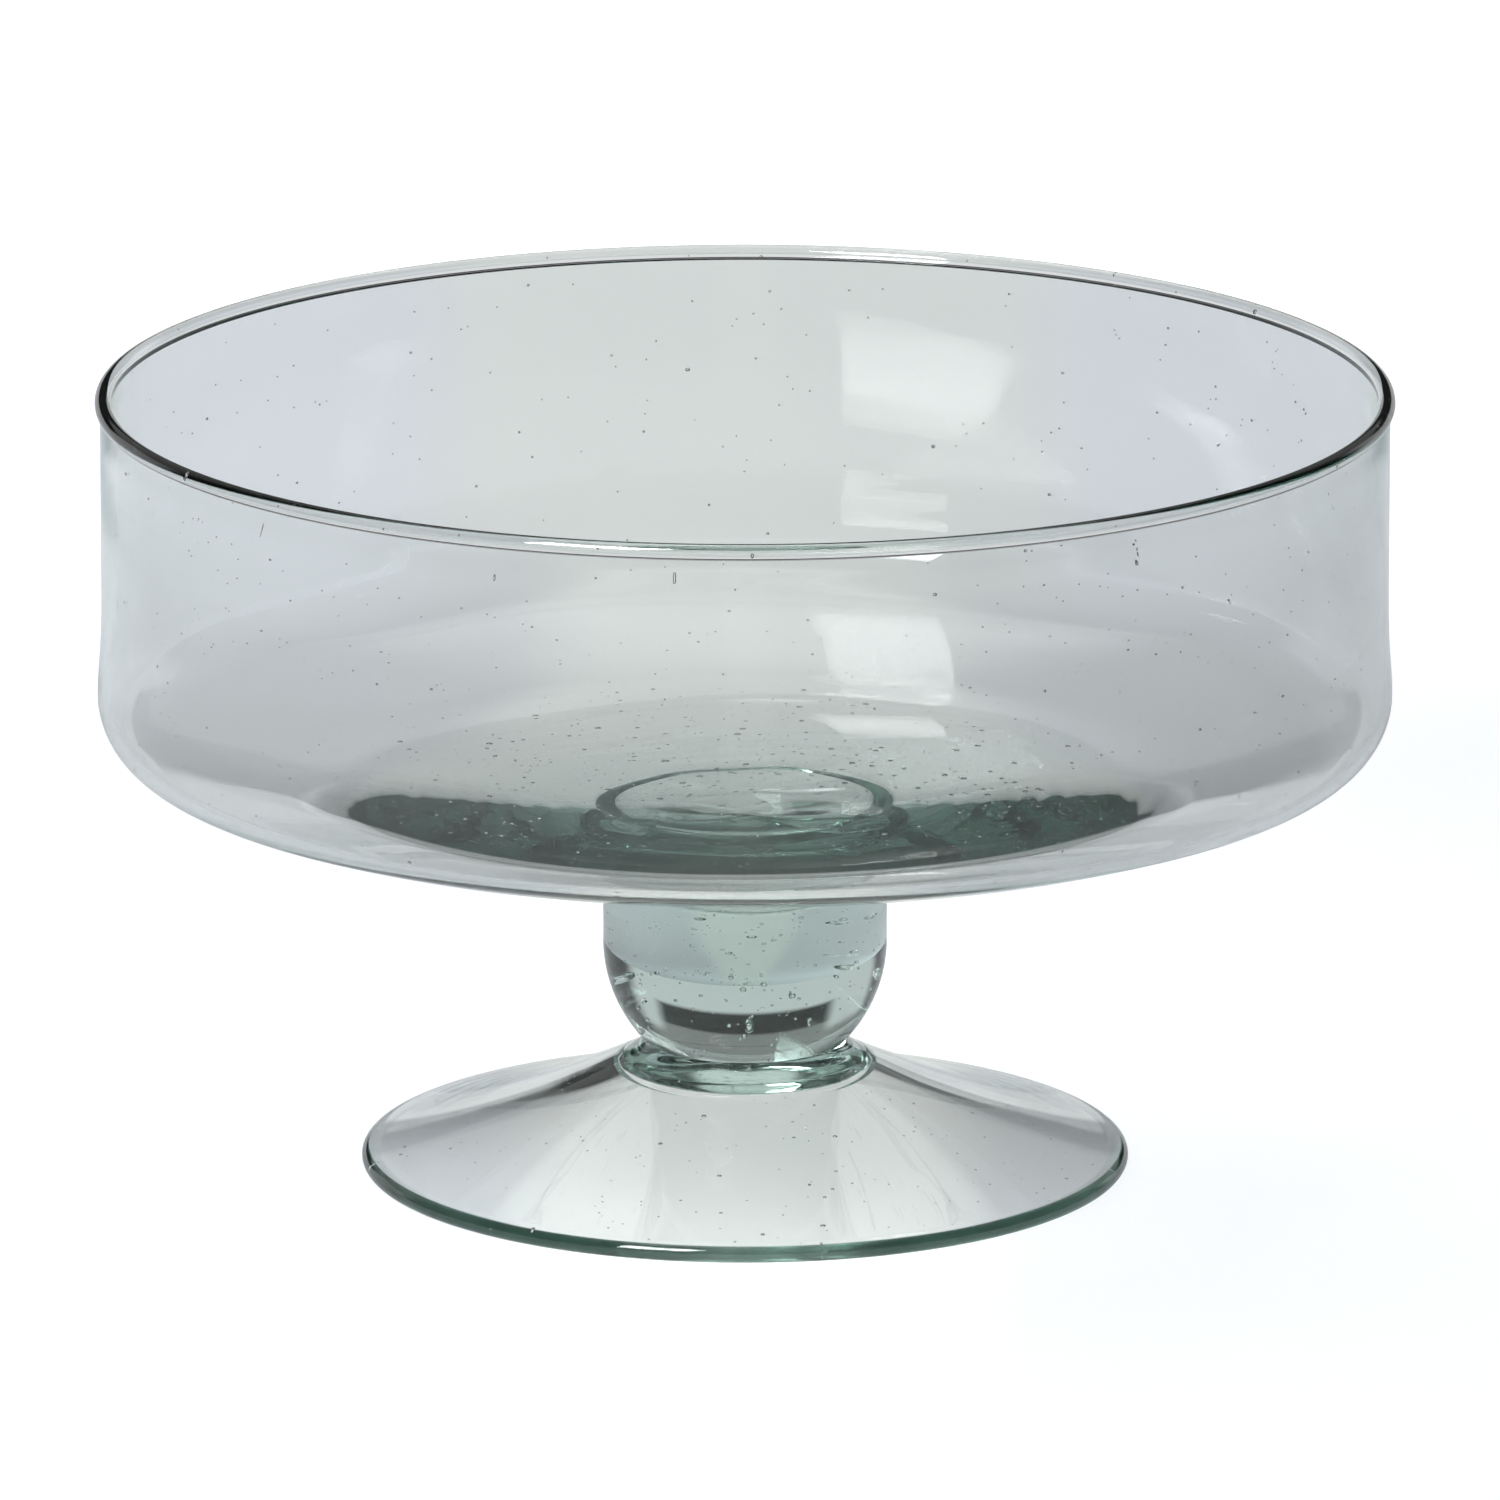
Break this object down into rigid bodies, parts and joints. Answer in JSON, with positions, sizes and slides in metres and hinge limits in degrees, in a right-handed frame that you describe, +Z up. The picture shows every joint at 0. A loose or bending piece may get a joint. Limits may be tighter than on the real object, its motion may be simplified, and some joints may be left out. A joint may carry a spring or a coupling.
{
  "type": "trifle bowl",
  "caption": "Footed drum-shaped serving bowl in pale green seeded glass: thin upright wall with a round rim, thick base, knop with an air pocket under the bowl, collar and hollow trumpet foot.",
  "frame": {"origin": "on the table, at the centre of the foot's standing ring", "axes": "+Z up along the axis of the bowl, -Y towards the viewer of the picture, +X to the right"},
  "size_m": [0.25, 0.25, 0.1536],
  "materials": {
    "bowl_glass": "clear blown glass, faint green, fire polished, a few seeds",
    "stem_glass": "thick clear glass, green where deep, with seeds",
    "foot_glass": "clear glass, faint green, green at the thick edge"
  },
  "bodies": {
    "root": {"bowl": "bowl_glass", "knop": "stem_glass", "collar": "stem_glass", "foot": "foot_glass"}
  },
  "joints": []
}
